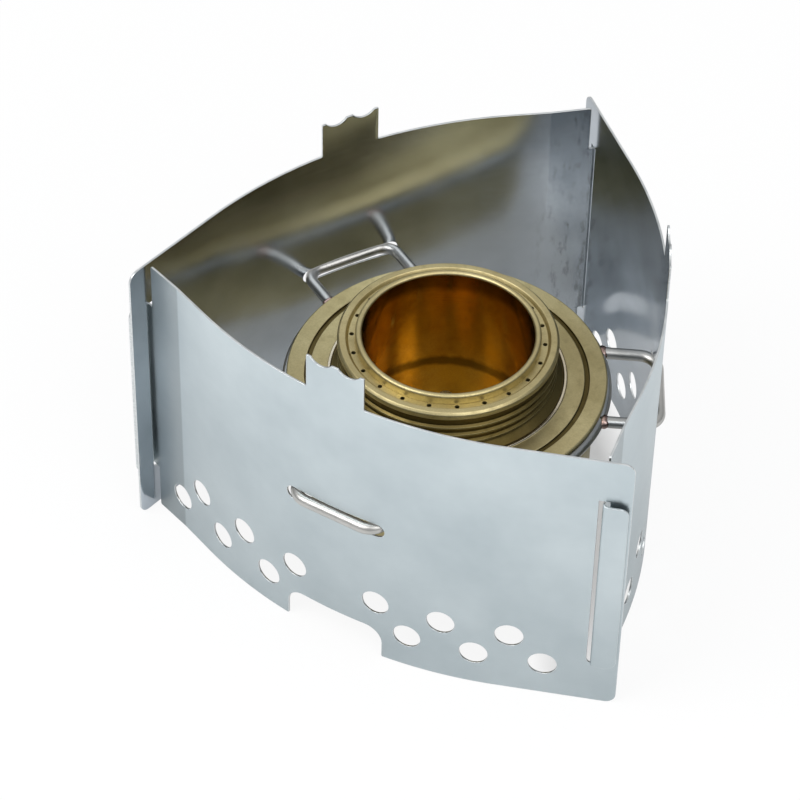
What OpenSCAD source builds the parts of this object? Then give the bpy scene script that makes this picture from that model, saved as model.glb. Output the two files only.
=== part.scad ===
// Alcohol stove: a triangular windshield of three interlocking sheet-metal panels,
// a wire ring with three loops that is held in the panels' slots, and a brass spirit
// burner that hangs by its flange in the ring. Origin: the burner's axis at floor level.
// The front panel's middle faces -Y. All lengths are in millimetres.

/* [Windshield panel] */
// Thickness of the sheet metal
sheet_t = 0.5; // [0.4:0.05:0.6]
// Height of a panel without its pot tab
panel_h = 77.2; // [74:0.2:90]
// Distance from the burner's axis to the outer face at a panel's middle
panel_reach = 49.4; // [48.5:0.1:52]
// Radius of the outer face over the curved middle
curve_r = 110; // [105:1:120]
// Angle from a panel's middle to each end of its curve
curve_half_angle = 21; // [19:0.5:23]
// Width of the pot tab at the top
tab_w = 14.9; // [13:0.1:17]
// Height of the pot tab above the panel
tab_h = 9.4; // [6:0.1:12]
// Radius of the two scallops in the pot tab's top
scallop_r = 3.4; // [3:0.1:4]
// Depth of the scallops below the tab's points
scallop_depth = 1.4; // [0.8:0.1:2]
// Distance of each scallop from the tab's middle
scallop_s = 3.6; // [3.4:0.1:4]
// Width of the bottom notch
notch_w = 25.6; // [20:0.2:27]
// Height of the bottom notch
notch_h = 9; // [6:0.2:10]
// Radius of the notch's upper corners
notch_corner_r = 4.5; // [2:0.1:5]
// Diameter of the air holes
air_d = 6.7; // [5:0.1:7.2]
// Number of air holes on each side of the middle
air_count = 6; // [4:1:6]
// Arc length from the panel's middle to the first air hole
air_first_s = 11; // [10:0.2:12]
// Arc length from one air hole to the next
air_pitch = 8; // [7.6:0.1:8.2]
// Height of the lower row's centres
air_low_z = 9.7; // [9:0.1:12]
// Height of the upper row's centres
air_high_z = 17.5; // [16.5:0.1:20]
// Length of the slot that takes a wire loop
wire_slot_len = 26; // [25.6:0.1:28]
// Height of that slot
wire_slot_h = 3.8; // [3.4:0.1:5]
// Height at which the loop's bar rests above the slot's lower edge
wire_seat = 0.5; // [0.3:0.05:0.6]

/* [Corner joint] */
// Arc length from the middle to the soft crease near the tongued end
crease_s = 50.4; // [48:0.2:54]
// Outward bend of the sheet at that crease
end_bend = 3; // [0:0.5:6]
// Height of the tongue's lower edge
tongue_z = 12.8; // [10:0.2:20]
// Height of the tongue
tongue_h = 52; // [40:0.5:56]
// Clearance above and below the tongue in its slot
tongue_clear = 0.4; // [0.3:0.05:0.8]
// Distance at which the sheet above and below the tongue stops short of the joint line
end_gap = 1.4; // [1.3:0.05:2]
// Width of the slot on the panel's side of the joint line
slot_inboard = 1.3; // [1.3:0.1:2.5]
// Width of the slot on the strip's side of the joint line
slot_outboard = 1.2; // [1.15:0.05:1.5]
// Width of the strip past the joint line
strip_w = 6.1; // [5.8:0.1:8]
// Radius of the strip's free corners
strip_corner_r = 2.6; // [1:0.1:4]
// Straight length of the tongue past the joint line
hook_exit = 0.5; // [0.5:0.05:0.8]
// Mean radius of the hook's bend
hook_bend_r = 0.75; // [0.7:0.05:1]
// Mean radius of the hook's gently bowed leg
leg_r = 10; // [9:0.5:14]
// Angle of the leg's bow before its crown
leg_rise_angle = 12; // [8:1:14]
// Angle of the leg's bow past its crown
leg_fall_angle = 17; // [10:1:18]
// Radius of the tongue's free corners
tongue_corner_r = 2.2; // [1:0.1:3]

/* [Wire stand] */
// Diameter of the wire
wire_d = 2.8; // [2.2:0.1:2.8]
// Height of the ring's centre line
wire_z = 42.3; // [40:0.05:45]
// Drop from the ring's centre line to the loops' bars
loop_drop = 0.9; // [0:0.1:2]
// Radius of the ring's centre line
ring_r = 37.2; // [37.2:0.1:37.8]
// Distance between the centre lines of a loop's two legs
loop_w = 23.2; // [20:0.2:23.2]
// Radius of a loop's bends at the centre line
loop_bend_r = 4.2; // [3:0.1:5]
// Distance of the loop's bar beyond the panel's outer face
bar_out = 0.2; // [0.1:0.05:0.8]
// Radius of a weld bead
bead_r = 1.65; // [1.45:0.05:1.8]

/* [Burner] */
// Overall height of the burner
burner_h = 45; // [42:0.5:48]
// Height of the burner's lip above its flange
lip_rise = 13.3; // [12:0.1:15]
// Radius of the flange
flange_r = 37.5; // [37.1:0.1:37.7]
// Height of the flange's edge
flange_h = 1.2; // [1.1:0.1:2]
// Clearance between the flange and the ring that carries it
seat_gap = 0.25; // [0.2:0.05:0.3]
// Radius of the groove in the shoulder
groove_r = 32.7; // [32:0.1:33.4]
// Width of the groove in the shoulder
groove_w = 1.1; // [0.8:0.1:1.4]
// Depth of the groove in the shoulder
groove_depth = 0.6; // [0.4:0.05:0.7]
// Thickness of the brass
brass_t = 0.6; // [0.5:0.05:0.8]
// Outside radius of the cup below the flange
cup_r = 34.6; // [33:0.1:35.4]
// Outside radius of the cup's bottom corner
cup_corner_r = 6; // [4:0.5:8]
// Radius of the neck between its thread ridges
neck_r = 24.9; // [24.6:0.1:25]
// Outside radius of the jet ring and the thread ridges
rim_r = 25.75; // [25.5:0.05:26]
// Height of the jet ring's rim below the lip
rim_drop = 1.55; // [1.2:0.05:2]
// Radius at which the neck's foot meets the shoulder
neck_foot_r = 27.6; // [27.2:0.1:28]
// Number of thread ridges on the neck
ridge_count = 3; // [2:1:3]
// Pitch of the thread ridges
ridge_pitch = 2.3; // [2:0.1:2.4]
// Height of a thread ridge
ridge_h = 1.1; // [0.9:0.1:1.3]
// Distance of the ridges' crests inside the jet ring's outside radius
ridge_inset = 0.15; // [0.1:0.05:0.3]
// Width of the deck between the jets and the jet ring's rim
jet_margin = 0.2; // [0.15:0.05:0.4]
// Depth of the jets' deck below the jet ring's rim
deck_drop = 0.9; // [0.6:0.05:1.2]
// Outside radius of the lip
lip_r = 21.55; // [21.4:0.05:21.7]
// Radius of the well inside the lip
well_r = 20.05; // [19.8:0.05:20.2]
// Number of flame jets
jet_count = 22; // [18:1:26]
// Diameter of a flame jet
jet_d = 1.1; // [0.8:0.1:1.2]
// Radius of the circle of jets
jet_circle_r = 22.4; // [22.3:0.05:22.5]
// Angle of the first jet from +X
jet_phase = 11.6; // [0:0.1:20]
// Number of fuel holes at the foot of the well
fuel_hole_count = 6; // [4:1:8]
// Diameter of a fuel hole
fuel_hole_d = 4; // [3:0.5:5]
// Outside radius of the wick between the walls
wick_r = 28; // [25:0.5:28.5]
// Room between the wick's top and the flange's underside
wick_room = 4.1; // [2:0.1:16]
// Clearance between the wick and the well's wall
wick_clear = 0.4; // [0.3:0.05:0.8]

/* [Hidden] */
$fn = 96;
over = 1;                       // overrun of cuts past a surface
panel_count = 3;
corner_angle = 360 / panel_count;   // turn from one panel to the next
fine_fn = 720;                  // segments of the sheet's large curve
hook_steps = 8;                 // facets of each bend in the hooked tongue
bevel_share = 0.25;             // bevel of a rim or flange as a share of its size
shank_share = 0.66;             // rim's height below its edge as a share of its width
crest_share = 0.33;             // flat crest of a ridge as a share of its height
steel = [0.76, 0.79, 0.81];
wire_steel = [0.62, 0.61, 0.60];
weld_steel = [0.55, 0.42, 0.38];
brass = [0.72, 0.65, 0.42];
cotton = [0.86, 0.84, 0.78];

curve_s = curve_r * curve_half_angle * PI / 180;    // arc length of half the curve
mid_t = sheet_t / 2;

// End of a panel's curve on its outer face: side -1 is the tongued end, +1 the slotted end
function curve_end(side) =
    [side * curve_r * sin(curve_half_angle),
     curve_r - panel_reach - curve_r * cos(curve_half_angle)];
function along(angle, length) = [length * cos(angle), length * sin(angle)];
function turned(v, angle) = [v.x * cos(angle) - v.y * sin(angle),
                             v.x * sin(angle) + v.y * cos(angle)];
function cross2(a, b) = a.x * b.y - a.y * b.x;

// Slotted end of the neighbour that the front panel's tongue enters, at mid sheet
slotted_dir = turned(along(curve_half_angle, 1), -corner_angle);
slotted_start = turned(curve_end(1) + along(curve_half_angle + 90, mid_t), -corner_angle);
// Tongued end of the front panel, at mid sheet
tongue_angle = 180 - curve_half_angle + end_bend;
tongue_dir = along(tongue_angle, 1);
crease_at = curve_end(-1) + along(180 - curve_half_angle, crease_s - curve_s)
    + along(90 - curve_half_angle, sheet_t);
tongue_start = crease_at + along(tongue_angle + 90, mid_t);
// Joint line, where both sheets cross, as distances along each of them
joint_from_crease = cross2(slotted_start - tongue_start, slotted_dir)
    / cross2(tongue_dir, slotted_dir);
joint_at = tongue_start + tongue_dir * joint_from_crease;
joint_s = curve_s + cross2(tongue_start - slotted_start, tongue_dir)
    / cross2(slotted_dir, tongue_dir);
slotted_end_s = joint_s + strip_w;
// Turn from the tongue's exit to the strip it hooks over
wrap_angle = 180 - corner_angle + 2 * curve_half_angle - end_bend;
bend_turn = wrap_angle - leg_rise_angle;
leg_turn = leg_rise_angle + leg_fall_angle;
leg_centre = [hook_exit + (hook_bend_r - leg_r) * sin(bend_turn),
              hook_bend_r + (leg_r - hook_bend_r) * cos(bend_turn)];

bar_reach = panel_reach + bar_out;
leg_s = loop_w / 2;
wire_r = wire_d / 2;
bar_z = wire_z - loop_drop;
wire_slot_z = bar_z - wire_r - wire_seat + wire_slot_h / 2;
ring_top_z = wire_z + wire_r;
flange_z = ring_top_z + seat_gap;
shoulder_z = flange_z + flange_h;
lip_z = shoulder_z + lip_rise;
base_z = lip_z - burner_h;
floor_z = base_z + brass_t;
wick_h = flange_z - floor_z - wick_room;
rim_z = lip_z - rim_drop;
tube_r = well_r + brass_t;
lip_w = lip_r - well_r;
rim_w = rim_r - jet_circle_r - jet_d / 2 - jet_margin;
rim_foot_z = rim_z - rim_w;
deck_z = rim_z - deck_drop;

// Places its children at an arc length along a panel's outer face:
// +X runs along the panel, +Y points inward
module at_s(s) {
    on_curve = max(-curve_s, min(curve_s, s));
    translate([0, curve_r - panel_reach, 0])
        rotate([0, 0, on_curve / curve_r * 180 / PI])
            translate([s - on_curve, -curve_r, 0]) children();
}

// Places its children at the crease, on the inner face, with the tongued end along -X
module at_crease() {
    at_s(-curve_s) translate([curve_s - crease_s, sheet_t, 0])
        rotate([0, 0, end_bend]) children();
}

// Places its children at the joint line in the tongued end, +X running outward
module at_tongue() {
    at_crease() translate([-joint_from_crease, -mid_t, 0]) rotate([0, 0, 180]) children();
}

// A round hole through the sheet, centred on its children's origin
module round_cut(d) {
    translate([0, -over, 0]) rotate([-90, 0, 0]) cylinder(d = d, h = sheet_t + 2 * over);
}

// Sheet on the curve's cylinder from an arc length left of the middle to the right,
// between two heights
module curved_sheet(s0, s1, z0, z1) {
    translate([0, curve_r - panel_reach, z0])
        rotate([0, 0, s0 / curve_r * 180 / PI - 90])
            rotate_extrude(angle = (s1 - s0) / curve_r * 180 / PI, $fn = fine_fn)
                translate([curve_r - sheet_t, 0]) square([sheet_t, z1 - z0]);
}

// Half a panel: the curve from its left end past the middle, and the straight end
module half_sheet(end_s) {
    curved_sheet(-curve_s, over, 0, panel_h);
    at_s(-curve_s) translate([curve_s - end_s, 0, 0])
        cube([end_s - curve_s, sheet_t, panel_h]);
}

// One side of the bent tongue, seen from above: side +1 is its outer face, -1 its inner face
function hook_edge(side) = concat(
    [for (i = [0 : hook_steps])
        let (a = bend_turn * i / hook_steps, r = hook_bend_r + side * mid_t)
        [hook_exit + r * sin(a), hook_bend_r - r * cos(a)]],
    [for (i = [1 : hook_steps])
        let (a = bend_turn + leg_turn * i / hook_steps, r = leg_r + side * mid_t)
        leg_centre + [r * sin(a), -r * cos(a)]]);
function reversed(list) = [for (i = [len(list) - 1 : -1 : 0]) list[i]];

// Tongue that passes the neighbour's slot and hooks over its strip
module tongue() {
    root_x = -end_gap - over;
    at_tongue() translate([0, 0, tongue_z]) linear_extrude(tongue_h)
        polygon(concat([[root_x, mid_t], [root_x, -mid_t]],
                       hook_edge(1), reversed(hook_edge(-1))));
}

// Sheet between the crease and the joint line
module tongued_end() {
    at_crease() translate([end_gap - joint_from_crease, -sheet_t, 0])
        cube([joint_from_crease - end_gap, sheet_t, panel_h]);
}

module blank() {
    half_sheet(crease_s);
    mirror([1, 0, 0]) half_sheet(slotted_end_s);
    curved_sheet(-tab_w / 2, tab_w / 2, panel_h - over, panel_h + tab_h);
    tongued_end();
    tongue();
}

module tab_scallops() {
    for (side = [-1, 1])
        at_s(side * scallop_s)
            translate([0, 0, panel_h + tab_h + scallop_r - scallop_depth]) round_cut(2 * scallop_r);
}

module bottom_notch() {
    straight = notch_w / 2 - notch_corner_r;
    translate([-notch_w / 2, -panel_reach - over, -over])
        cube([notch_w, sheet_t + 3 * over, notch_h - notch_corner_r + over]);
    translate([-straight, -panel_reach - over, -over])
        cube([2 * straight, sheet_t + 3 * over, notch_h + over]);
    for (side = [-1, 1])
        translate([side * straight, -panel_reach - over, notch_h - notch_corner_r])
            rotate([-90, 0, 0]) cylinder(r = notch_corner_r, h = sheet_t + 3 * over);
}

module wire_slot() {
    straight = (wire_slot_len - wire_slot_h) / 2;
    translate([-straight, -panel_reach - over, wire_slot_z - wire_slot_h / 2])
        cube([2 * straight, sheet_t + 3 * over, wire_slot_h]);
    for (side = [-1, 1])
        translate([side * straight, -panel_reach - over, wire_slot_z])
            rotate([-90, 0, 0]) cylinder(d = wire_slot_h, h = sheet_t + 3 * over);
}

module air_holes() {
    for (side = [-1, 1], i = [0 : air_count - 1])
        at_s(side * (air_first_s + i * air_pitch))
            translate([0, 0, i % 2 == 0 ? air_high_z : air_low_z]) round_cut(air_d);
}

// Slot for the neighbour's tongue, with a round foot
module tongue_slot() {
    width = slot_inboard + slot_outboard;
    low = tongue_z - tongue_clear + width / 2;
    high = tongue_z + tongue_h + tongue_clear;
    at_s(joint_s) {
        translate([-slot_inboard, -over, low]) cube([width, sheet_t + 2 * over, high - low]);
        translate([(slot_outboard - slot_inboard) / 2, 0, low]) round_cut(width);
    }
}

// Cuts a sheet's free corner round: the corner lies along +X at its children's height,
// up = +1 for an upper corner, -1 for a lower one
module corner_cut(r, up) {
    translate([-r, -over, -up * r]) difference() {
        translate([0, 0, up > 0 ? 0 : -r - over])
            cube([r + over, sheet_t + 2 * over, r + over]);
        rotate([-90, 0, 0]) cylinder(r = r, h = sheet_t + 2 * over);
    }
}

module strip_corners() {
    at_s(slotted_end_s) {
        corner_cut(strip_corner_r, -1);
        translate([0, 0, panel_h]) corner_cut(strip_corner_r, 1);
    }
}

// Rounds the hooked leg's two corners
module tongue_corners() {
    at_tongue() translate(leg_centre) rotate([0, 0, bend_turn + leg_turn])
        translate([0, -leg_r - mid_t, tongue_z]) {
            corner_cut(tongue_corner_r, -1);
            translate([0, 0, tongue_h]) corner_cut(tongue_corner_r, 1);
        }
}

module panel() {
    color(steel) difference() {
        blank();
        tab_scallops();
        bottom_notch();
        wire_slot();
        air_holes();
        tongue_slot();
        strip_corners();
        tongue_corners();
    }
}

module front_panel() panel();
module right_panel() rotate([0, 0, corner_angle]) panel();
module rear_panel() rotate([0, 0, -corner_angle]) panel();

module support_ring() {
    color(wire_steel) translate([0, 0, wire_z])
        rotate_extrude() translate([ring_r, 0]) circle(d = wire_d);
}

// Where a loop's leg meets the ring, measured toward the panel
function leg_start() = sqrt(ring_r * ring_r - leg_s * leg_s);

// A loop slopes down from the ring to its bar, which lies in the panel's slot
module loop() {
    straight = leg_s - loop_bend_r;
    reach = bar_reach - leg_start();
    leg_len = norm([reach, loop_drop]);
    color(wire_steel) translate([0, -leg_start(), wire_z])
        rotate([atan2(loop_drop, reach), 0, 0]) {
            for (side = [-1, 1]) {
                translate([side * leg_s, 0, 0]) rotate([90, 0, 0])
                    cylinder(d = wire_d, h = leg_len - loop_bend_r);
                translate([side * straight, loop_bend_r - leg_len, 0])
                    rotate([0, 0, side > 0 ? -90 : 180])
                        rotate_extrude(angle = 90) translate([loop_bend_r, 0]) circle(d = wire_d);
            }
            translate([-straight, -leg_len, 0]) rotate([0, 90, 0])
                cylinder(d = wire_d, h = 2 * straight);
        }
}

module front_loop() loop();
module right_loop() rotate([0, 0, corner_angle]) loop();
module rear_loop() rotate([0, 0, -corner_angle]) loop();

module weld_beads() {
    color(weld_steel) for (i = [0 : panel_count - 1], side = [-1, 1])
        rotate([0, 0, i * corner_angle])
            translate([side * leg_s, -leg_start() - wire_r, wire_z]) sphere(r = bead_r);
}

// Wall of the cup, closed below, from the floor up to the flange
module burner_cup() {
    inner_r = cup_r - brass_t;
    inner_corner_r = cup_corner_r - brass_t;
    color(brass) difference() {
        union() {
            translate([0, 0, base_z + cup_corner_r])
                cylinder(r = cup_r, h = flange_z - base_z - cup_corner_r);
            translate([0, 0, base_z]) cylinder(r = cup_r - cup_corner_r, h = cup_corner_r);
            translate([0, 0, base_z + cup_corner_r]) rotate_extrude()
                translate([cup_r - cup_corner_r, 0]) circle(r = cup_corner_r);
        }
        translate([0, 0, floor_z + inner_corner_r])
            cylinder(r = inner_r, h = flange_z - floor_z);
        translate([0, 0, floor_z]) cylinder(r = inner_r - inner_corner_r, h = cup_corner_r);
        translate([0, 0, floor_z + inner_corner_r]) rotate_extrude()
            translate([inner_r - inner_corner_r, 0]) circle(r = inner_corner_r);
    }
}

// Flange, shoulder, threaded neck and jet ring, spun from one blank
module burner_shoulder() {
    crest_r = rim_r - ridge_inset;
    bevel = flange_h * bevel_share;
    color(brass) difference() {
        union() {
            rotate_extrude() polygon([
                [flange_r - bevel, flange_z],
                [flange_r, flange_z + bevel],
                [flange_r, shoulder_z - bevel],
                [flange_r - bevel, shoulder_z],
                [groove_r + groove_w / 2, shoulder_z],
                [groove_r + groove_w / 2, shoulder_z - groove_depth],
                [groove_r - groove_w / 2, shoulder_z - groove_depth],
                [groove_r - groove_w / 2, shoulder_z],
                [neck_foot_r, shoulder_z],
                [neck_r, shoulder_z + (neck_foot_r - neck_r) / 2],
                [neck_r, rim_foot_z],
                [rim_r, rim_z - rim_w * shank_share],
                [rim_r, rim_z - rim_w * bevel_share],
                [rim_r - rim_w * bevel_share, rim_z],
                [rim_r - rim_w + rim_w * bevel_share, rim_z],
                [rim_r - rim_w, deck_z],
                [tube_r, deck_z],
                [tube_r, deck_z - brass_t],
                [neck_r - brass_t, deck_z - brass_t],
                [neck_r - brass_t, flange_z]]);
            for (i = [0 : ridge_count - 1])
                translate([0, 0, rim_foot_z - (i + 1) * ridge_pitch]) rotate_extrude()
                    polygon([
                        [neck_r - brass_t / 2, -ridge_h / 2],
                        [neck_r, -ridge_h / 2],
                        [crest_r, -ridge_h * crest_share / 2],
                        [crest_r, ridge_h * crest_share / 2],
                        [neck_r, ridge_h / 2],
                        [neck_r - brass_t / 2, ridge_h / 2]]);
        }
        for (i = [0 : jet_count - 1])
            rotate([0, 0, jet_phase + i * 360 / jet_count])
                translate([jet_circle_r, 0, deck_z - brass_t - over])
                    cylinder(d = jet_d, h = brass_t + 2 * over);
    }
}

// Inner wall of the well with its rolled lip; it stands on the cup's floor
module burner_well() {
    color(brass) difference() {
        rotate_extrude() union() {
            translate([well_r, floor_z]) square([brass_t, deck_z - floor_z]);
            translate([well_r, deck_z]) square([lip_w, lip_z - lip_w / 2 - deck_z]);
            translate([well_r + lip_w / 2, lip_z - lip_w / 2]) circle(d = lip_w);
        }
        for (i = [0 : fuel_hole_count - 1])
            rotate([0, 0, i * 360 / fuel_hole_count])
                translate([well_r - over, 0, floor_z + fuel_hole_d]) rotate([0, 90, 0])
                    cylinder(d = fuel_hole_d, h = brass_t + 2 * over);
    }
}

module wick() {
    color(cotton) translate([0, 0, floor_z]) difference() {
        cylinder(r = wick_r, h = wick_h);
        translate([0, 0, -over])
            cylinder(r = tube_r + wick_clear, h = wick_h + 2 * over);
    }
}

front_panel();
right_panel();
rear_panel();
support_ring();
front_loop();
right_loop();
rear_loop();
weld_beads();
burner_cup();
burner_shoulder();
burner_well();
wick();
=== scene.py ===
import math

import bmesh
import bpy
from mathutils import Matrix, Vector, noise


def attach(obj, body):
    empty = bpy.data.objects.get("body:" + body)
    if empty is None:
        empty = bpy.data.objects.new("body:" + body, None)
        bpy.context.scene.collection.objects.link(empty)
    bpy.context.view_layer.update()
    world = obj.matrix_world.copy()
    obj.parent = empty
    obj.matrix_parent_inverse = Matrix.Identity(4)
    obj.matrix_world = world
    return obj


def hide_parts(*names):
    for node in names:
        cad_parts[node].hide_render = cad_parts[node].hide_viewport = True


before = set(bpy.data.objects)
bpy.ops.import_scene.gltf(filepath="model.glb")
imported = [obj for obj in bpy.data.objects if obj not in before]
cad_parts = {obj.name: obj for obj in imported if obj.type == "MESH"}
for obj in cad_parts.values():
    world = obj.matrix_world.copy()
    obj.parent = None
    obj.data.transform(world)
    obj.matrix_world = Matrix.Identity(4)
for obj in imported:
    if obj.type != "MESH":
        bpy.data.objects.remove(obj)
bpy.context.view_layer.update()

MM = 0.001
PANELS = (("front", 0, "windshield_front"), ("right", 120, "windshield_right"),
          ("rear", -120, "windshield_rear"))
ROOT = "windshield_front"

# Panel sizes, in millimetres, as in the CAD. s runs along the flat blank from the panel's middle,
# z up it.
SHEET = 0.5
EDGE_ROUND = 0.07
PANEL_H = 77.2
REACH = 49.4
CURVE_R = 110.0
CURVE_ANGLE = math.radians(21)
CURVE_S = CURVE_R * CURVE_ANGLE
CREASE_S = 50.4
END_BEND = math.radians(3)
STRAIGHT_TO_HOOK = 11.665
TONGUED_END_S = -60.165
BEND_R, BEND_TURN = 0.75, math.radians(87)
LEG_R, LEG_TURN = 10.0, math.radians(29)
TONGUE_S = -68.27
TONGUE_Z = (12.8, 64.8)
TONGUE_CORNER_R = 2.2
SLOTTED_END_S = 68.357
STRIP_CORNER_R = 2.6
LEG_S = -62.4
TONGUE_SLOT_S = (60.957, 63.457)
TONGUE_SLOT_Z = (13.65, 65.2)
TAB_W, TAB_H = 14.9, 9.4
SCALLOP_S, SCALLOP_Z, SCALLOP_R, SCALLOP_FROM, SCALLOP_TO = 3.6, 88.6, 3.4, -36, -144
NOTCH_W, NOTCH_H, NOTCH_CORNER_R = 25.6, 9.0, 4.5
WIRE_SLOT_W, WIRE_SLOT_H, WIRE_SLOT_Z = 26.0, 3.8, 41.4
AIR_R = 3.35
AIR_S = [11 + 8 * i for i in range(6)]
AIR_Z = (17.5, 9.7)
TOP_SHADE_Z = 54
SMUDGE_S = (-46, -56)

# Wire sizes, in millimetres
WIRE_R = 1.4
WIRE_Z = 42.3
LOOP_DROP = 0.9
RING_R = 37.2
LEG_X = 11.6
LOOP_BEND_R = 4.2
BAR_REACH = 49.6
WELD_Y = -math.sqrt(RING_R ** 2 - LEG_X ** 2)
BEAD_OUT = 1.2
BEAD_SIZE = (1.95, 1.5, 1.42)
BEAD_LUMPS = 0.08
HEAT_REACH = 7.5

# Burner sizes, in millimetres
BRASS_T = 0.6
BASE_Z = 13.45
FLOOR_Z = BASE_Z + BRASS_T
CUP_R, CUP_CORNER_R = 34.6, 6
FLANGE_Z, FLANGE_R, FLANGE_BEVEL = 43.95, 37.5, 0.3
SHOULDER_Z = 45.15
GROOVE_Z, GROOVE_R = 44.55, (32.15, 33.25)
BEAD_Z, BEAD_R = 45.5, (27.1, 28.1)
NECK_R, RIDGE_R = 24.9, 25.55
RIDGES, RIDGE_TOP_Z, RIDGE_PITCH = 3, 54.3, 2.3
RIDGE_FOOT, RIDGE_CREST = 0.62, 0.2
RIM_Z, RIM_R = 56.9, 25.75
DECK_Z = 56.0
WELL_R = 20.05
WELL_OUT_R = WELL_R + BRASS_T
LIP_Z, LIP_R, LIP_ROUND = 58.45, 21.55, 0.72
JETS, JET_CIRCLE_R, JET_R, JET_PHASE = 22, 22.4, 0.55, 11.6
FUEL_HOLES, FUEL_R = 6, 2
FUEL_Z = FLOOR_Z + 2 * FUEL_R
DRILL_DEPTH = 3

# Stage: shares of glow, and the soft painted shade on the floor along the right panel's foot, in
# millimetres
CAMERA_GLOW, MIRROR_GLOW = 0.9, 0.25
SHADE, SHADE_OUT, SHADE_FOOT, SHADE_ENDS = 0.62, (22, 34), (49.4, 40), (62, 50)
FLOOR_SIZE, FLOOR_DROP = 8, 0.0002
LAMP_AIM = (0, 0, 0.03)

# Camera
CAMERA_PLACE = (0.28486, -0.50182, 0.59856)
CAMERA_AIM = (-0.007223, -0.009041, 0.04)
CAMERA_LENS = 154.27
CAMERA_ROLL = math.radians(1.3266)


# ---------------------------------------------------------------- mesh tools
def new_object(name, mesh):
    obj = bpy.data.objects.new(name, mesh)
    bpy.context.scene.collection.objects.link(obj)
    return obj


def applied(obj):
    """Turns an object's modifiers into its mesh."""
    graph = bpy.context.evaluated_depsgraph_get()
    mesh = bpy.data.meshes.new_from_object(obj.evaluated_get(graph), depsgraph=graph)
    obj.modifiers.clear()
    obj.data = mesh
    return obj


def weighted(obj, angle=None):
    """Smooth shading that keeps large faces flat."""
    for face in obj.data.polygons:
        face.use_smooth = True
    if angle:
        obj.data.set_sharp_from_angle(angle=math.radians(angle))
    modifier = obj.modifiers.new("normals", "WEIGHTED_NORMAL")
    modifier.mode = "FACE_AREA_WITH_ANGLE"
    modifier.keep_sharp = bool(angle)
    return applied(obj)


def rounded(corners, steps=5):
    """Closed outline from (x, y, radius) corners, each rounded by an arc."""
    points = []
    for i, (x, y, radius) in enumerate(corners):
        p = Vector((x, y))
        if not radius:
            points.append(p)
            continue
        to_last = Vector(corners[i - 1][:2]) - p
        to_next = Vector(corners[(i + 1) % len(corners)][:2]) - p
        last_dir, next_dir = to_last.normalized(), to_next.normalized()
        half = last_dir.angle(next_dir) / 2
        cut = min(radius / math.tan(half), to_last.length / 2, to_next.length / 2)
        r = cut * math.tan(half)
        centre = p + (last_dir + next_dir).normalized() * (r / math.sin(half))
        a = p + last_dir * cut - centre
        b = p + next_dir * cut - centre
        turn = a.angle_signed(b)
        for k in range(steps + 1):
            v = a.copy()
            v.rotate(Matrix.Rotation(-turn * k / steps, 2))
            points.append(centre + v)
    return points


def arc(cx, cy, r, a0, a1, steps):
    return [Vector((cx + r * math.cos(math.radians(a0 + (a1 - a0) * k / steps)),
                    cy + r * math.sin(math.radians(a0 + (a1 - a0) * k / steps))))
            for k in range(steps + 1)]


# -------------------------------------------------------------------- panels
def sheet_point(s, z, off):
    """Place of a point of the flat blank on the bent panel: off is from mid sheet outward."""
    mid_r = CURVE_R - SHEET / 2

    def on_curve(a):
        return Vector((mid_r * math.sin(a), CURVE_R - REACH - mid_r * math.cos(a)))

    if abs(s) <= CURVE_S:
        angle = s / CURVE_R
        p = on_curve(angle)
    elif s > CURVE_S:
        angle = CURVE_ANGLE
        p = on_curve(angle) + Vector((math.cos(angle), math.sin(angle))) * (s - CURVE_S)
    else:
        angle = -CURVE_ANGLE
        straight = max(s, -CREASE_S) + CURVE_S
        p = on_curve(angle) + Vector((math.cos(angle), math.sin(angle))) * straight
        if s < -CREASE_S:
            angle += END_BEND
            travel = -s - CREASE_S
            p -= Vector((math.cos(angle), math.sin(angle))) * min(travel, STRAIGHT_TO_HOOK)
            travel -= STRAIGHT_TO_HOOK
            for r, turn in ((BEND_R, BEND_TURN), (LEG_R, LEG_TURN)):
                if travel > 0:
                    part = min(turn, travel / r)
                    centre = p + Vector((math.sin(angle), -math.cos(angle))) * r
                    angle += part
                    p = centre - Vector((math.sin(angle), -math.cos(angle))) * r
                    travel -= turn * r
    p += Vector((math.sin(angle), -math.cos(angle))) * off
    return p.x, p.y, z


def panel_outline():
    scallops = []
    for side in (1, -1):
        scallops += [(v.x, v.y, 0) for v in arc(side * SCALLOP_S, SCALLOP_Z, SCALLOP_R,
                                                SCALLOP_FROM, SCALLOP_TO, 14)]
    tab = [(TAB_W / 2, PANEL_H, 0.4), (TAB_W / 2, PANEL_H + TAB_H, 0.15)] + scallops + \
          [(-TAB_W / 2, PANEL_H + TAB_H, 0.15), (-TAB_W / 2, PANEL_H, 0.4)]
    low, high = TONGUE_Z
    return rounded([
        (TONGUED_END_S, 0, 0.5), (-NOTCH_W / 2, 0, 0.3), (-NOTCH_W / 2, NOTCH_H, NOTCH_CORNER_R),
        (NOTCH_W / 2, NOTCH_H, NOTCH_CORNER_R), (NOTCH_W / 2, 0, 0.3),
        (SLOTTED_END_S, 0, STRIP_CORNER_R), (SLOTTED_END_S, PANEL_H, STRIP_CORNER_R)] + tab + [
        (TONGUED_END_S, PANEL_H, 0.5), (TONGUED_END_S, high, 0.3),
        (TONGUE_S, high, TONGUE_CORNER_R), (TONGUE_S, low, TONGUE_CORNER_R),
        (TONGUED_END_S, low, 0.3)], 8)


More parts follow.
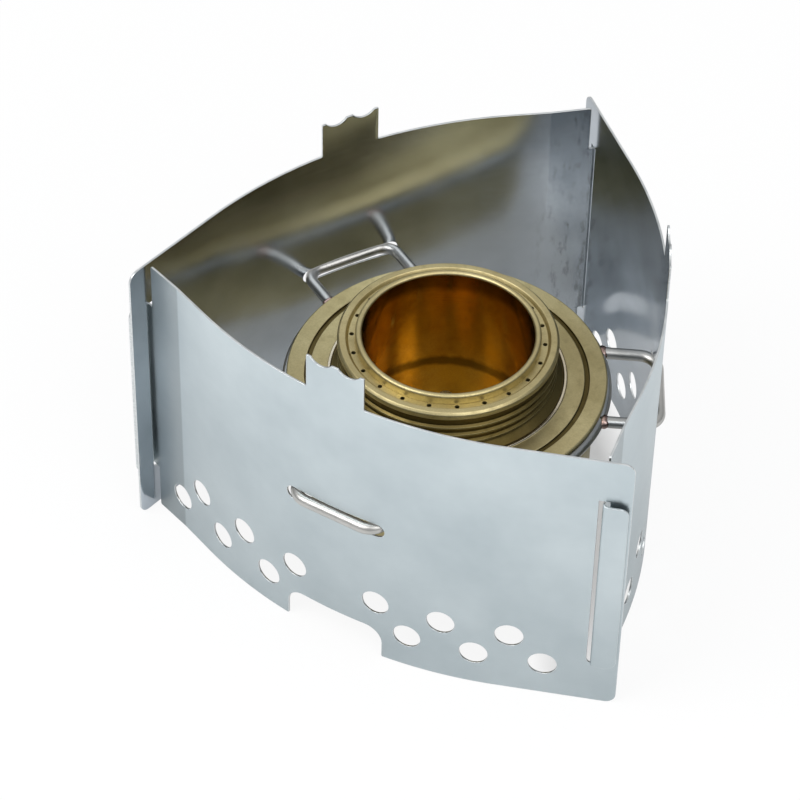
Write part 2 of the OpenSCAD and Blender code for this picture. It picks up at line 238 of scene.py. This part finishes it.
def panel_holes():
    holes = [arc(side * s, AIR_Z[i % 2], AIR_R, 0, 350, 35)
             for side in (-1, 1) for i, s in enumerate(AIR_S)]
    half = (WIRE_SLOT_W - WIRE_SLOT_H) / 2
    holes.append(arc(half, WIRE_SLOT_Z, WIRE_SLOT_H / 2, -90, 90, 12)
                 + arc(-half, WIRE_SLOT_Z, WIRE_SLOT_H / 2, 90, 270, 12))
    low, high = TONGUE_SLOT_S
    foot, top = TONGUE_SLOT_Z
    holes.append(arc((low + high) / 2, foot, (high - low) / 2, 180, 360, 12)
                 + [Vector((high, top)), Vector((low, top))])
    return holes


def flat_blank():
    """The stamped blank as a thin mesh with rolled-over edges, x = s and y = z."""
    curve = bpy.data.curves.new("blank", "CURVE")
    curve.dimensions = "2D"
    curve.fill_mode = "BOTH"
    curve.extrude = SHEET / 2 - EDGE_ROUND
    curve.bevel_depth = EDGE_ROUND
    curve.bevel_resolution = 1
    curve.offset = -EDGE_ROUND
    for loop in [panel_outline()] + [hole[::-1] for hole in panel_holes()]:
        spline = curve.splines.new("POLY")
        spline.points.add(len(loop) - 1)
        for point, v in zip(spline.points, loop):
            point.co = (v.x, v.y, 0, 1)
        spline.use_cyclic_u = True
    obj = new_object("blank", curve)
    graph = bpy.context.evaluated_depsgraph_get()
    mesh = bpy.data.meshes.new_from_object(obj.evaluated_get(graph), depsgraph=graph)
    bpy.data.objects.remove(obj)
    cuts = [-59 + 1.25 * i for i in range(102)]
    hook = -CREASE_S - STRAIGHT_TO_HOOK
    cuts += [hook - BEND_R * BEND_TURN * i / 8 for i in range(9)]
    cuts += [hook - BEND_R * BEND_TURN - LEG_R * LEG_TURN * i / 8 for i in range(1, 8)]
    cuts += [-CREASE_S, -CREASE_S + 0.3, -CREASE_S - 0.3]
    b = bmesh.new()
    b.from_mesh(mesh)
    bmesh.ops.remove_doubles(b, verts=b.verts, dist=0.001)
    for s in cuts:
        bmesh.ops.bisect_plane(b, geom=b.verts[:] + b.edges[:] + b.faces[:], dist=1e-5,
                               plane_co=(s, 0, 0), plane_no=(1, 0, 0))
    b.to_mesh(mesh)
    b.free()
    return mesh


def build_panel(name, turn, body, blank, materials):
    mesh = blank.copy()
    mesh.name = name
    for material in materials:
        mesh.materials.append(material)
    for face in mesh.polygons:
        on_leg = face.center.x < LEG_S
        on_edge = abs(face.normal.z) < 0.95
        face.material_index = 2 if on_edge else 0 if face.normal.z > 0 or on_leg else 1
    spin = Matrix.Rotation(math.radians(turn), 4, "Z")
    flat = [v.co.copy() for v in mesh.vertices]
    coords = mesh.attributes.new("blank", "FLOAT_VECTOR", "POINT")
    for i, co in enumerate(flat):
        coords.data[i].vector = (co.x * MM, co.y * MM, turn * MM)
        mesh.vertices[i].co = spin @ Vector(sheet_point(co.x, co.y, co.z)) * MM
    obj = weighted(new_object(name, mesh), 50)
    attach(obj, body)
    return obj


# ------------------------------------------------------------ swept and spun
def tube(name, points, r, cyclic=False, sides=20):
    """Round wire along points."""
    n = len(points)
    rings = []
    side = Vector((0, 0, 1))
    for i, p in enumerate(points):
        before = points[i - 1] if i or cyclic else p
        after = points[(i + 1) % n] if i < n - 1 or cyclic else p
        along = (after - before).normalized()
        u = (side - along * side.dot(along)).normalized()
        v = along.cross(u)
        rings.append([p + (u * math.cos(a) + v * math.sin(a)) * r
                      for a in (2 * math.pi * k / sides for k in range(sides))])
    verts = [v * MM for ring in rings for v in ring]
    faces = []
    for i in range(n if cyclic else n - 1):
        for k in range(sides):
            a, b = i * sides, ((i + 1) % n) * sides
            faces.append((a + k, a + (k + 1) % sides, b + (k + 1) % sides, b + k))
    if not cyclic:
        faces.append(tuple(reversed(range(sides))))
        faces.append(tuple(range((n - 1) * sides, n * sides)))
    mesh = bpy.data.meshes.new(name)
    mesh.from_pydata(verts, [], faces)
    obj = new_object(name, mesh)
    for face in mesh.polygons:
        face.use_smooth = len(face.vertices) == 4
    return obj


def lathe(name, profile, segments=192):
    """Closed (r, z) profile spun about +Z; points on the axis are joined there."""
    n = len(profile)
    verts, faces = [], []
    for k in range(segments):
        a = 2 * math.pi * k / segments
        verts += [(p.x * math.cos(a) * MM, p.x * math.sin(a) * MM, p.y * MM) for p in profile]
    for k in range(segments):
        a, b = k * n, ((k + 1) % segments) * n
        faces += [(a + i, b + i, b + (i + 1) % n, a + (i + 1) % n) for i in range(n)]
    mesh = bpy.data.meshes.new(name)
    mesh.from_pydata(verts, [], faces)
    if min(p.x for p in profile) == 0:
        b = bmesh.new()
        b.from_mesh(mesh)
        on_axis = [v for v in b.verts if v.co.xy.length < 1e-7]
        bmesh.ops.remove_doubles(b, verts=on_axis, dist=1e-6)
        bmesh.ops.delete(b, geom=[e for e in b.edges if e.is_wire], context="EDGES")
        b.to_mesh(mesh)
        b.free()
    return new_object(name, mesh)


def drill(obj, places, r, depth):
    """Cuts round holes, each along the Z axis of its place."""
    b = bmesh.new()
    for place in places:
        bmesh.ops.create_cone(b, cap_ends=True, segments=20, radius1=r * MM, radius2=r * MM,
                              depth=depth * MM, matrix=place)
    mesh = bpy.data.meshes.new("cutters")
    b.to_mesh(mesh)
    b.free()
    cutter = new_object("cutters", mesh)
    holes = obj.modifiers.new("holes", "BOOLEAN")
    holes.operation = "DIFFERENCE"
    holes.solver = "EXACT"
    holes.object = cutter
    applied(obj)
    bpy.data.objects.remove(cutter)
    return obj


def loop_path():
    """Centre line of the front loop, which slopes down from the ring to its bar."""
    length = math.hypot(BAR_REACH + WELD_Y, LOOP_DROP)
    straight = LEG_X - LOOP_BEND_R
    right = [Vector((LEG_X, -(length - LOOP_BEND_R) * i / 6)) for i in range(6)]
    half = right + arc(straight, LOOP_BEND_R - length, LOOP_BEND_R, 0, -90, 14)
    middle = [Vector((straight * k / 4, -length)) for k in range(3, -4, -1)]
    flat = half + middle + [Vector((-v.x, v.y)) for v in reversed(half)]
    fall = LOOP_DROP / length
    level = math.sqrt(1 - fall ** 2)
    return [Vector((v.x, v.y * level + WELD_Y, WIRE_Z + v.y * fall)) for v in flat]


def bead(name, turn, side):
    """A lumpy fused spot that flows over the ring and the loop's leg."""
    centre = Vector((side * LEG_X, WELD_Y - BEAD_OUT, WIRE_Z))
    b = bmesh.new()
    bmesh.ops.create_icosphere(b, subdivisions=4, radius=1)
    for v in b.verts:
        lump = 1 + BEAD_LUMPS * noise.noise(v.co * 1.6 + Vector((turn, side * 3, 0)))
        v.co = v.co * Vector(BEAD_SIZE) * lump + centre
    b.transform(Matrix.Rotation(math.radians(turn), 4, "Z"))
    for v in b.verts:
        v.co *= MM
    mesh = bpy.data.meshes.new(name)
    b.to_mesh(mesh)
    b.free()
    for face in mesh.polygons:
        face.use_smooth = True
    return new_object(name, mesh)


# ----------------------------------------------------------------- materials
BLACK = (0, 0, 0, 1)


class Nodes:
    """Short hand for building one material's node tree."""

    def __init__(self, name):
        self.material = bpy.data.materials.new(name)
        self.material.use_nodes = True
        self.tree = self.material.node_tree
        self.shader = self.tree.nodes["Principled BSDF"]

    def node(self, kind, inputs=None, **settings):
        node = self.tree.nodes.new(kind)
        for key, value in settings.items():
            setattr(node, key, value)
        for key, value in (inputs or {}).items():
            if isinstance(value, bpy.types.NodeSocket):
                self.tree.links.new(value, node.inputs[key])
            else:
                node.inputs[key].default_value = value
        return node

    def coords(self, scale=(1, 1, 1), attribute=None):
        if attribute:
            source = self.node("ShaderNodeAttribute", attribute_name=attribute).outputs["Vector"]
        else:
            source = self.node("ShaderNodeTexCoord").outputs["Object"]
        return self.node("ShaderNodeMapping", {"Vector": source, "Scale": scale}).outputs[0]

    def noise(self, vector, scale, detail=3, rough=0.5):
        return self.node("ShaderNodeTexNoise", {"Vector": vector, "Scale": scale, "Detail": detail,
                                                "Roughness": rough}).outputs["Fac"]

    def ramp(self, fac, stops):
        node = self.node("ShaderNodeValToRGB", {"Fac": fac})
        elements = node.color_ramp.elements
        while len(elements) < len(stops):
            elements.new(0.5)
        for element, (position, colour) in zip(elements, stops):
            element.position = position
            element.color = tuple(colour) + (1,) if len(colour) == 3 else colour
        return node.outputs["Color"]

    def calc(self, operation, *values):
        return self.node("ShaderNodeMath", dict(enumerate(values)), operation=operation).outputs[0]

    def dot(self, vector, direction):
        return self.node("ShaderNodeVectorMath", {0: vector, 1: direction},
                         operation="DOT_PRODUCT").outputs["Value"]

    def remap(self, value, low, high, to_low, to_high):
        return self.node("ShaderNodeMapRange", {"Value": value, "From Min": low, "From Max": high,
                                                "To Min": to_low, "To Max": to_high}).outputs[0]

    def mix(self, fac, a, b):
        node = self.node("ShaderNodeMix", data_type="RGBA")
        for key, value in ((0, fac), (6, a), (7, b)):
            if isinstance(value, bpy.types.NodeSocket):
                self.tree.links.new(value, node.inputs[key])
            else:
                node.inputs[key].default_value = value
        return node.outputs[2]

    def bump(self, height, strength, distance):
        return self.node("ShaderNodeBump", {"Height": height, "Strength": strength,
                                            "Distance": distance}).outputs[0]

    def set(self, **inputs):
        names = {"base": "Base Color", "metallic": "Metallic", "rough": "Roughness", "normal": "Normal"}
        for key, value in inputs.items():
            socket = self.shader.inputs[names[key]]
            if isinstance(value, bpy.types.NodeSocket):
                self.tree.links.new(value, socket)
            else:
                socket.default_value = value
        return self.material


def panel_material(name, dark, light, rough, stain=0.0, low_shade=1.0, top_shade=1.0, end_shade=1.0):
    """Satin sheet, with painted shade toward the bottom, toward the top and past the crease."""
    m = Nodes(name)
    blank = m.coords(attribute="blank")
    clouds = m.noise(blank, 34, 4, 0.55)
    patches = m.noise(blank, 11, 2, 0.5)
    grain = m.noise(m.coords((120, 2600, 1), "blank"), 1, 2, 0.6)
    specks = m.noise(blank, 900, 2, 0.6)
    base = m.ramp(clouds, ((0.3, dark), (0.72, light)))
    place = m.node("ShaderNodeSeparateXYZ", {0: blank})
    if stain:
        warm = m.remap(patches, 0.5, 0.68, 0, stain)
        base = m.mix(warm, base, (0.36, 0.35, 0.32, 1))
        smudges = m.noise(m.coords((420, 130, 1), "blank"), 1, 4, 0.7)
        near_end = m.remap(place.outputs[0], SMUDGE_S[0] * MM, SMUDGE_S[1] * MM, 0, 1)
        smudge = m.calc("MULTIPLY", m.remap(smudges, 0.53, 0.68, 0, 0.55), near_end)
        base = m.mix(smudge, base, (0.14, 0.14, 0.14, 1))
    # Painted shade: darker toward the bottom, toward the top and past the crease, and lifted again on
    # the hook's leg
    shade = m.remap(place.outputs[1], 0, PANEL_H * MM, low_shade, 1)
    steps = [m.remap(place.outputs[1], TOP_SHADE_Z * MM, PANEL_H * MM, 1, top_shade)]
    for s, low, high in ((-CREASE_S, end_shade, 1), (LEG_S, 1 / end_shade, 1)):
        steps.append(m.remap(place.outputs[0], (s - 0.3) * MM, (s + 0.3) * MM, low, high))
    for step in steps:
        shade = m.calc("MULTIPLY", shade, step)
    base = m.mix(shade, BLACK, base)
    roughness = m.calc("ADD", m.remap(clouds, 0.3, 0.7, rough - 0.04, rough + 0.05),
                       m.remap(grain, 0.3, 0.7, -0.02, 0.02))
    height = m.calc("ADD", m.remap(grain, 0, 1, 0, 0.4), m.remap(specks, 0, 1, 0, 0.4))
    return m.set(base=base, metallic=1.0, rough=roughness, normal=m.bump(height, 0.06, 0.00005))


def edge_material():
    m = Nodes("sheared_edge")
    streaks = m.noise(m.coords((300, 300, 4000)), 1, 2)
    base = m.ramp(streaks, ((0.3, (0.58, 0.61, 0.62)), (0.7, (0.78, 0.80, 0.80))))
    return m.set(base=base, metallic=1.0, rough=m.remap(streaks, 0.3, 0.7, 0.28, 0.42),
                 normal=m.bump(streaks, 0.2, 0.00004))


def wire_material():
    m = Nodes("drawn_wire")
    place = m.coords()
    clouds = m.noise(place, 120, 3)
    fine = m.noise(place, 2600, 2)
    heat = m.node("ShaderNodeAttribute", attribute_name="heat").outputs["Fac"]
    base = m.ramp(clouds, ((0.3, (0.40, 0.40, 0.38)), (0.7, (0.58, 0.57, 0.55))))
    base = m.mix(heat, base, (0.16, 0.105, 0.085, 1))
    return m.set(base=base, metallic=1.0, rough=m.remap(clouds, 0.3, 0.7, 0.3, 0.4),
                 normal=m.bump(fine, 0.15, 0.00003))


def weld_material():
    m = Nodes("heat_tinted_weld")
    place = m.coords()
    clouds = m.noise(place, 700, 3)
    ripples = m.noise(place, 1500, 2)
    base = m.ramp(clouds, ((0.35, (0.16, 0.11, 0.095)), (0.55, (0.40, 0.27, 0.23)),
                           (0.72, (0.62, 0.46, 0.41))))
    return m.set(base=base, metallic=1.0, rough=m.remap(clouds, 0.3, 0.7, 0.22, 0.38),
                 normal=m.bump(ripples, 0.35, 0.00012))


def brass_material(name, dark, light, rough, warm=None, scale=60, bands=()):
    """Brass with soft clouds of tarnish, fine sandy grain and faint turning marks.

    bands are (height in mm, shade) pairs of painted shade that darken it in soft rings.
    """
    m = Nodes(name)
    place = m.coords()
    clouds = m.noise(place, scale, 4, 0.6)
    spots = m.noise(place, 420, 3, 0.6)
    sand = m.noise(place, 2600, 2, 0.6)
    turned = m.noise(m.coords((220, 220, 3000)), 1, 2)
    base = m.ramp(clouds, ((0.3, dark), (0.7, light)))
    base = m.mix(m.remap(spots, 0.56, 0.75, 0, 0.3), base, tuple(c * 0.6 for c in dark) + (1,))
    if warm:
        base = m.mix(m.remap(m.noise(place, 75, 3), 0.42, 0.6, 0, 0.85), base, warm)
    base = m.mix(m.remap(sand, 0.35, 0.7, 0, 0.22), base, tuple(c * 0.55 for c in dark) + (1,))
    if bands:
        z = m.node("ShaderNodeSeparateXYZ", {0: place}).outputs[2]
        wander = m.calc("ADD", z, m.remap(clouds, 0.3, 0.7, -0.7 * MM, 0.7 * MM))
        low, high = bands[0][0], bands[-1][0]
        ring = m.ramp(m.remap(wander, low * MM, high * MM, 0, 1),
                      [((z - low) / (high - low), (shade, shade, shade)) for z, shade in bands])
        base = m.mix(ring, BLACK, base)
    height = m.calc("ADD", m.remap(turned, 0, 1, 0, 0.5), m.remap(sand, 0, 1, 0, 0.5))
    return m.set(base=base, metallic=1.0, rough=m.remap(spots, 0.3, 0.7, rough - 0.05, rough + 0.07),
                 normal=m.bump(height, 0.25, 0.00004))


def wick_material():
    m = Nodes("cotton_wick")
    place = m.coords()
    fibres = m.noise(m.coords((900, 900, 260)), 1, 4, 0.7)
    base = m.ramp(fibres, ((0.3, (0.62, 0.56, 0.44)), (0.7, (0.88, 0.85, 0.77))))
    return m.set(base=base, metallic=0.0, rough=m.remap(m.noise(place, 300), 0.3, 0.7, 0.85, 1.0),
                 normal=m.bump(fibres, 0.8, 0.0006))


def give(obj, *materials):
    obj.data.materials.clear()
    for material in materials:
        obj.data.materials.append(material)
    return obj


# -------------------------------------------------------------------- object
# Painted shade: on the outside toward the bottom and past the crease, on the inside toward the top
OUTSIDE = panel_material("panel_outside", (0.50, 0.57, 0.60), (0.645, 0.715, 0.74), 0.38,
                         low_shade=0.76, end_shade=0.72)
INSIDE = panel_material("panel_inside", (0.43, 0.475, 0.52), (0.64, 0.70, 0.76), 0.17, stain=0.2,
                        top_shade=0.6)
EDGE = edge_material()
WIRE = wire_material()
WELD = weld_material()
BRASS = brass_material("burner_satin", (0.45, 0.37, 0.18), (0.66, 0.57, 0.31), 0.42)
# Darker brass paints shade on the neck and in the groove; lighter brass paints highlights on the ridge
# crests and on the bead at the neck's foot
SHADE_BRASS = brass_material("burner_neck_painted_shade", (0.085, 0.062, 0.018), (0.16, 0.12, 0.045), 0.36)
CREST_HIGHLIGHT = brass_material("burner_ridges_painted_highlight", (0.20, 0.165, 0.07), (0.32, 0.27, 0.13), 0.34)
BEAD_HIGHLIGHT = brass_material("burner_bead_painted_highlight", (0.62, 0.53, 0.38), (0.86, 0.76, 0.60), 0.22)
# Its bands paint shade: darker toward the floor, a dark ring near 30 mm up, and darker toward the mouth
AMBER = brass_material("burner_well_amber", (0.46, 0.255, 0.03), (0.96, 0.665, 0.16), 0.13,
                       (0.78, 0.475, 0.06, 1), 95,
                       ((14, 0.7), (28.4, 0.8), (29.4, 0.3), (30.9, 0.3), (32.2, 0.95), (52.6, 1.0),
                        (54.6, 0.4), (58, 0.28)))
WICK = wick_material()

blank = flat_blank()
for label, turn, body in PANELS:
    panel = build_panel(label + "_panel_sheet", turn, body, blank, (OUTSIDE, INSIDE, EDGE))
    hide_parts(label + "_panel")


def heated(obj, centres):
    attribute = obj.data.attributes.new("heat", "FLOAT", "POINT")
    for v in obj.data.vertices:
        near = min((v.co / MM - c).length for c in centres)
        attribute.data[v.index].value = math.exp(-(near / HEAT_REACH) ** 2)


weld_points = [Matrix.Rotation(math.radians(turn), 3, "Z")
               @ Vector((side * LEG_X, WELD_Y, WIRE_Z))
               for _, turn, _ in PANELS for side in (-1, 1)]
ring_points = [v.to_3d() + Vector((0, 0, WIRE_Z)) for v in arc(0, 0, RING_R, 0, 358, 179)]
ring = give(tube("support_ring_wire", ring_points, WIRE_R, True), WIRE)
heated(ring, weld_points)
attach(ring, ROOT)
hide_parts("support_ring")
for label, turn, _ in PANELS:
    spin = Matrix.Rotation(math.radians(turn), 3, "Z")
    wire = give(tube(label + "_loop_wire", [spin @ p for p in loop_path()], WIRE_R), WIRE)
    heated(wire, weld_points)
    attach(wire, ROOT)
    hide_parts(label + "_loop")
    for side, tag in ((-1, "a"), (1, "b")):
        spot = give(bead(label + "_weld_" + tag, turn, side), WELD)
        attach(spot, ROOT)
        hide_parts("weld_beads")


def build_cup():
    inner_r = CUP_R - BRASS_T
    profile = rounded([
        (0, FLOOR_Z, 0), (0, BASE_Z, 0), (CUP_R, BASE_Z, CUP_CORNER_R), (CUP_R, FLANGE_Z, 0.1),
        (inner_r, FLANGE_Z, 0.1), (inner_r, FLOOR_Z, CUP_CORNER_R - BRASS_T)], 10)
    return give(weighted(lathe("burner_cup_bowl", profile), 40), BRASS)


def shoulder_profile():
    """Closed outline of the flange, groove, bead, ridged neck, rim and the deck with the jets."""
    edge_r = FLANGE_R - FLANGE_BEVEL
    flange = [(NECK_R - BRASS_T, FLANGE_Z, 0), (edge_r, FLANGE_Z, 0.1),
              (FLANGE_R, FLANGE_Z + FLANGE_BEVEL, 0.3), (FLANGE_R, SHOULDER_Z - FLANGE_BEVEL, 0.3),
              (edge_r, SHOULDER_Z, 0.3)]
    inner_r, outer_r = GROOVE_R
    groove = [(outer_r, SHOULDER_Z, 0.2), (outer_r, GROOVE_Z, 0.15), (inner_r, GROOVE_Z, 0.15),
              (inner_r, SHOULDER_Z, 0.2)]
    inner_r, outer_r = BEAD_R
    bead_line = [(outer_r, SHOULDER_Z, 0.2), (outer_r - 0.2, BEAD_Z, 0.15),
                 (inner_r + 0.3, BEAD_Z, 0.15), (inner_r, BEAD_Z - 0.2, 0.2), (NECK_R, 46.5, 0.5)]
    neck = []
    for i in range(RIDGES, 0, -1):
        z = RIDGE_TOP_Z - RIDGE_PITCH * i
        neck += [(NECK_R, z - RIDGE_FOOT, 0.25), (RIDGE_R, z - RIDGE_CREST, 0.2),
                 (RIDGE_R, z + RIDGE_CREST, 0.2), (NECK_R, z + RIDGE_FOOT, 0.25)]
    rim = [(NECK_R, 54.2, 0.3), (RIM_R, 55.2, 0.4), (RIM_R, 56.3, 0.4), (25.2, RIM_Z, 0.4),
           (23.8, RIM_Z, 0.4)]
    deck = [(23.15, DECK_Z, 0.2), (WELL_OUT_R, DECK_Z, 0), (WELL_OUT_R, DECK_Z - BRASS_T, 0),
            (NECK_R - BRASS_T, DECK_Z - BRASS_T, 0.2)]
    return rounded(flange + groove + bead_line + neck + rim + deck, 4)


def build_shoulder():
    last = JET_PHASE + 360 * (JETS - 1) / JETS
    jets = [Matrix.Translation(Vector((v.x, v.y, DECK_Z - BRASS_T / 2)) * MM)
            for v in arc(0, 0, JET_CIRCLE_R, JET_PHASE, last, JETS - 1)]
    shoulder = drill(lathe("burner_shoulder_spinning", shoulder_profile()), jets, JET_R, DRILL_DEPTH)
    give(weighted(shoulder, 40), BRASS, SHADE_BRASS, CREST_HIGHLIGHT, BEAD_HIGHLIGHT)
    for face in shoulder.data.polygons:
        r, z = Vector(face.center[:2]).length / MM, face.center.z / MM
        in_groove = GROOVE_R[0] - 0.15 < r < GROOVE_R[1] + 0.15 and z < SHOULDER_Z - 0.25
        on_neck = SHOULDER_Z + 0.05 < z < RIDGE_TOP_Z + 0.3 and NECK_R - 0.3 < r < BEAD_R[0] + 0.1
        on_crest = on_neck and RIDGE_R - 0.2 < r < RIDGE_R + 0.15
        on_bead = BEAD_R[0] + 0.1 < r < BEAD_R[1] + 0.05 and SHOULDER_Z + 0.05 < z < BEAD_Z + 0.1
        # Painted shade on the neck and in the groove, painted highlights on the ridge crests and the
        # bead
        face.material_index = 3 if on_bead else 2 if on_crest else 1 if on_neck or in_groove else 0
    return shoulder


def build_well():
    profile = rounded([
        (WELL_R, FLOOR_Z, 0), (WELL_OUT_R, FLOOR_Z, 0), (WELL_OUT_R, DECK_Z, 0), (LIP_R, DECK_Z, 0.1),
        (LIP_R, LIP_Z, LIP_ROUND), (WELL_R, LIP_Z, LIP_ROUND)], 8)
    fuel_holes = [Matrix.Rotation(math.radians(360 * k / FUEL_HOLES), 4, "Z")
                  @ Matrix.Translation(Vector((WELL_R + BRASS_T / 2, 0, FUEL_Z)) * MM)
                  @ Matrix.Rotation(math.pi / 2, 4, "Y")
                  for k in range(FUEL_HOLES)]
    well = drill(lathe("burner_well_wall", profile), fuel_holes, FUEL_R, DRILL_DEPTH)
    give(weighted(well, 40), BRASS, AMBER)
    for face in well.data.polygons:
        r, z = Vector(face.center[:2]).length / MM, face.center.z / MM
        face.material_index = 0 if r > WELL_R + 0.35 or z > LIP_Z - 0.85 else 1
    return well


for piece, node in ((build_cup(), "burner_cup"), (build_shoulder(), "burner_shoulder"),
                    (build_well(), "burner_well")):
    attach(piece, "burner")
    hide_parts(node)
give(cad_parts["wick"], WICK)


# --------------------------------------------------------------------- stage
def stage_material():
    """White floor; its glow for the camera fades in a painted shade along the right panel's foot."""
    m = Nodes("white_floor")
    m.set(base=(0.86, 0.86, 0.86, 1), rough=0.9, metallic=0.0)
    place = m.coords()
    out = m.dot(place, (0.866, 0.5, 0))
    across = m.dot(place, (-0.5, 0.866, 0))
    foot = m.calc("MULTIPLY_ADD", m.calc("MULTIPLY", across, across), 0.5 / (CURVE_R * MM), out)
    shade = SHADE
    for value, (low, high) in ((out, SHADE_OUT), (foot, SHADE_FOOT),
                               (m.calc("ABSOLUTE", across), SHADE_ENDS)):
        shade = m.calc("MULTIPLY", shade, m.remap(value, low * MM, high * MM, 0, 1))
    seen = m.calc("MULTIPLY", m.calc("SUBTRACT", 1.0, shade), CAMERA_GLOW)
    rays = m.node("ShaderNodeLightPath").outputs
    mirrored = m.calc("MULTIPLY", rays["Is Glossy Ray"], MIRROR_GLOW)
    share = m.calc("MULTIPLY_ADD", rays["Is Camera Ray"], seen, mirrored)
    glow = m.node("ShaderNodeEmission", {"Color": (1, 1, 1, 1), "Strength": 1.0}).outputs[0]
    mix = m.node("ShaderNodeMixShader", {0: share, 1: m.shader.outputs[0], 2: glow})
    m.tree.links.new(mix.outputs[0], m.tree.nodes["Material Output"].inputs["Surface"])
    return m.material


bpy.ops.mesh.primitive_plane_add(size=FLOOR_SIZE, location=(0, 0, -FLOOR_DROP))
floor = bpy.context.object
floor.name = "floor"
give(floor, stage_material())

# Soft sky, lighter toward the top
world = bpy.data.worlds.new("studio")
bpy.context.scene.world = world
world.use_nodes = True
sky = world.node_tree
direction = sky.nodes.new("ShaderNodeTexCoord")
split = sky.nodes.new("ShaderNodeSeparateXYZ")
height = sky.nodes.new("ShaderNodeValToRGB")
sky.links.new(direction.outputs["Generated"], split.inputs[0])
sky.links.new(split.outputs["Z"], height.inputs["Fac"])
sky.links.new(height.outputs["Color"], sky.nodes["Background"].inputs["Color"])
for element, position, colour in zip(height.color_ramp.elements, (0.0, 0.75),
                                     ((0.42, 0.43, 0.44, 1), (0.95, 0.96, 0.97, 1))):
    element.position = position
    element.color = colour
sky.nodes["Background"].inputs["Strength"].default_value = 0.8


def area_light(name, place, size, watts):
    data = bpy.data.lights.new(name, "AREA")
    data.shape = "SQUARE"
    data.size = size
    data.energy = watts
    obj = new_object(name, data)
    obj.location = place
    obj.rotation_euler = (Vector(LAMP_AIM) - Vector(place)).to_track_quat("-Z", "Y").to_euler()
    return obj


area_light("key", (-0.35, -0.55, 0.85), 0.6, 5.0)
area_light("fill", (0.6, -0.2, 0.7), 0.7, 3.0)

# -------------------------------------------------------------------- camera
camera = bpy.data.cameras.new("camera")
camera.lens = CAMERA_LENS
camera.sensor_width = 36
camera.clip_start = 0.05
camera_object = new_object("camera", camera)
camera_object.location = CAMERA_PLACE
aim = Vector(CAMERA_AIM) - camera_object.location
turn_level = aim.to_track_quat("-Z", "Y").to_matrix()
camera_object.rotation_euler = (turn_level @ Matrix.Rotation(CAMERA_ROLL, 3, "Z")).to_euler()
bpy.context.scene.camera = camera_object
bpy.context.scene.view_settings.view_transform = "Standard"
